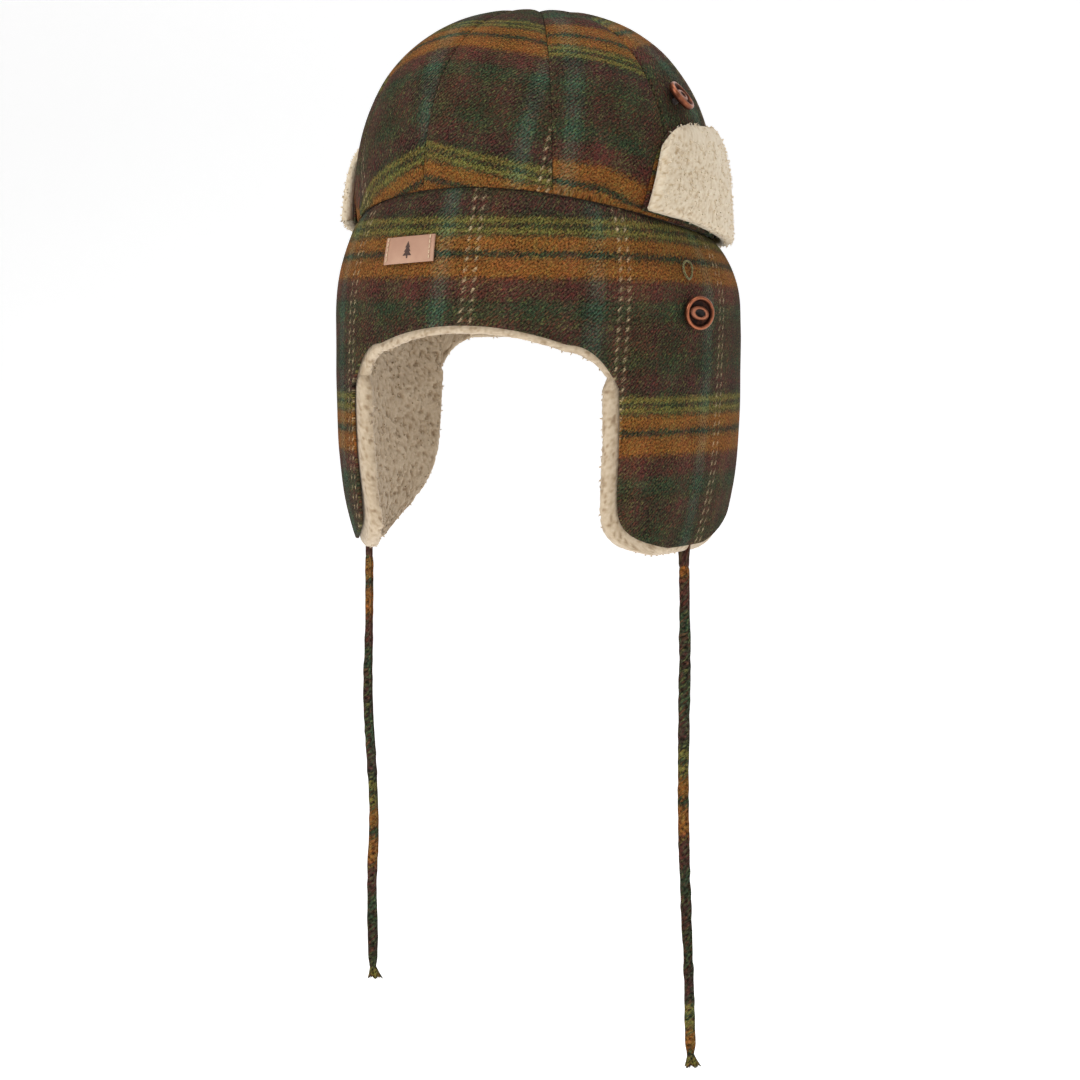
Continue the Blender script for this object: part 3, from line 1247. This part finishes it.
LABEL_FROM, LABEL_TO, LABEL_LOW, LABEL_HIGH = -26.2, -8.8, 38.5, 51.0
LABEL_T, LABEL_SLOPE = 1.2, 0.12


def label_place(u, v, inset):
    angle = LABEL_FROM + (LABEL_TO - LABEL_FROM) * u
    rise = LABEL_SLOPE * (angle - (LABEL_FROM + LABEL_TO) / 2)
    return band_point(angle, LABEL_LOW + (LABEL_HIGH - LABEL_LOW) * v + rise, inset)


def make_label(leather, ink, thread):
    """A leather patch with a small pine tree pressed into it, and its end stitches."""
    width, height = 33.5, LABEL_HIGH - LABEL_LOW
    face = -(GAP + LABEL_T)
    u_side, v_side = side_shares(width, 0.8, 0.6, 0.6), side_shares(height, 0.8, 0.6, 0.6)
    patch = layer_mesh("label", label_place, u_side, v_side, face, -GAP)
    points = points_of(patch)
    out = np.hypot(points[:, 0] / BAND_A, points[:, 1] / BAND_B)
    give_values(patch.data, "edge", np.clip((out.max() - out) / 0.02, 0, 1))
    dress(patch, leather, "label_leather", "hat", "label_patch")
    half = [(0.45, -3.9), (0.45, -2.7), (2.9, -2.7), (1.2, -0.9), (2.2, -0.9), (0.8, 1.0), (1.6, 1.0)]
    other_half = [(-x, y) for x, y in reversed(half)]
    outline = [other_half[-1]] + half + [(0.0, 3.9)] + other_half[:-1]
    tree = []
    for inset in (face - 0.12, face + 0.3):
        for x, y in outline:
            tree.append(label_place(np.array(0.5 + x / width), np.array(0.5 + y / height), inset))
    count = len(outline)
    faces = [tuple(range(count)), tuple(range(2 * count - 1, count - 1, -1))]
    faces += [(k, (k + 1) % count, count + (k + 1) % count, count + k) for k in range(count)]
    mark = new_object("label_tree", tree, faces, flat=True)
    dress(mark, ink, "label_leather", "hat")
    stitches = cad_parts["label_stitches"]
    stitches.data.materials.clear()
    stitches.data.materials.append(thread)


# Each button's place, as an angle and a height, and the turn and lift that it faces
FLAP_BUTTON, FLAP_BUTTON_FACES = (66.6, 15.0), (48.0, 0.0)
CROWN_BUTTON, CROWN_BUTTON_FACES = (75.0, 114.0), (88.0, 38.0)


def make_fastenings(leather, ink, copper, boss, dark_thread, olive_thread, tan_thread):
    outward = towards(*FLAP_BUTTON_FACES)
    foot = band_point(*FLAP_BUTTON, 0.0) + np.array(outward[:]) * LEAN_ROOM
    make_button("flap_button", foot, outward, -14.0, copper, boss, dark_thread)
    outward = towards(*CROWN_BUTTON_FACES)
    foot = dome_point(CROWN_BUTTON[0], climb_of(CROWN_BUTTON[1]), 0.0) + np.array(outward[:]) * LEAN_ROOM
    make_button("crown_button", foot, outward, 0.0, copper, boss, dark_thread)
    make_loop(olive_thread)
    make_label(leather, ink, tan_thread)


def main():
    make_camera()
    plaid = plaid_material("plaid_wool")
    tie_plaid = plaid_material("plaid_tie", 0.95)
    for name in SIDES:
        make_tie(name, tie_plaid)
    make_studio()
    make_floor()
    make_band(plaid, sherpa_material("sherpa_inner", (138, 114, 88), (176, 154, 126), (208, 190, 164)))
    make_crown(plaid, quilt_material())
    make_neck_flap(plaid, sherpa_material("sherpa_outer", (182, 158, 124), (206, 186, 156), (224, 210, 186)))
    make_fastenings(leather_material(), ink_material(), copper_material(), boss_material(),
                    thread_material("thread_dark", (26, 20, 18), (60, 46, 40)),
                    thread_material("thread_olive", (64, 62, 30), (128, 122, 66)),
                    thread_material("thread_tan", (190, 160, 124), (228, 204, 168), 2.0))


main()
